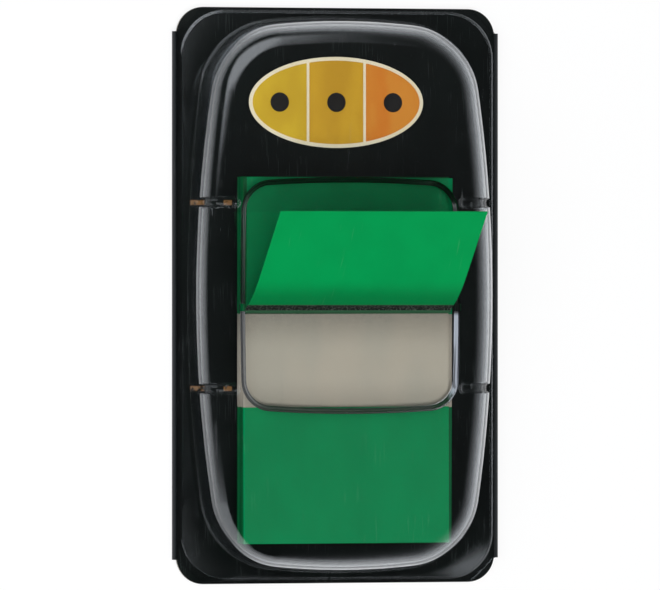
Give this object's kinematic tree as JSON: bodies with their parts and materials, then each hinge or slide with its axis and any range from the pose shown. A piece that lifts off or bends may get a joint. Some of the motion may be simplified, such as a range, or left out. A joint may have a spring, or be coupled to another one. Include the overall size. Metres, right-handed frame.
{
  "type": "sticky index tabs",
  "caption": "Stack of film index tabs in a clear domed dispenser on a black card, with the top tab popped up through a slot.",
  "frame": {"origin": "under the middle of the dispenser, on the surface that it lies on", "axes": "+X to the right and +Y to the top of the front face, +Z out of the front face"},
  "size_m": [0.0404, 0.0682, 0.0162],
  "materials": {
    "clear_plastic": "clear, glossy, thermoformed sheet",
    "black_card": "black printed card with a satin varnish",
    "tab_stack": "edges of many green and clear films",
    "clear_film": "matt translucent film",
    "green_print": "satin green print on film",
    "cream_print": "satin print",
    "yellow_print": "satin print",
    "amber_print": "satin print",
    "orange_print": "satin print",
    "dark_print": "satin print"
  },
  "bodies": {
    "root": {"clear_cover": "clear_plastic", "backing_card": "black_card", "tab_stack": "tab_stack", "third_tab": "clear_film", "third_tab_colour": "green_print", "second_tab": "clear_film", "second_tab_colour": "green_print", "top_tab": "clear_film", "top_tab_colour": "green_print", "badge_ground": "cream_print", "badge_left_field": "yellow_print", "badge_middle_field": "amber_print", "badge_right_field": "orange_print", "badge_left_dot": "dark_print", "badge_middle_dot": "dark_print", "badge_right_dot": "dark_print"}
  },
  "joints": []
}
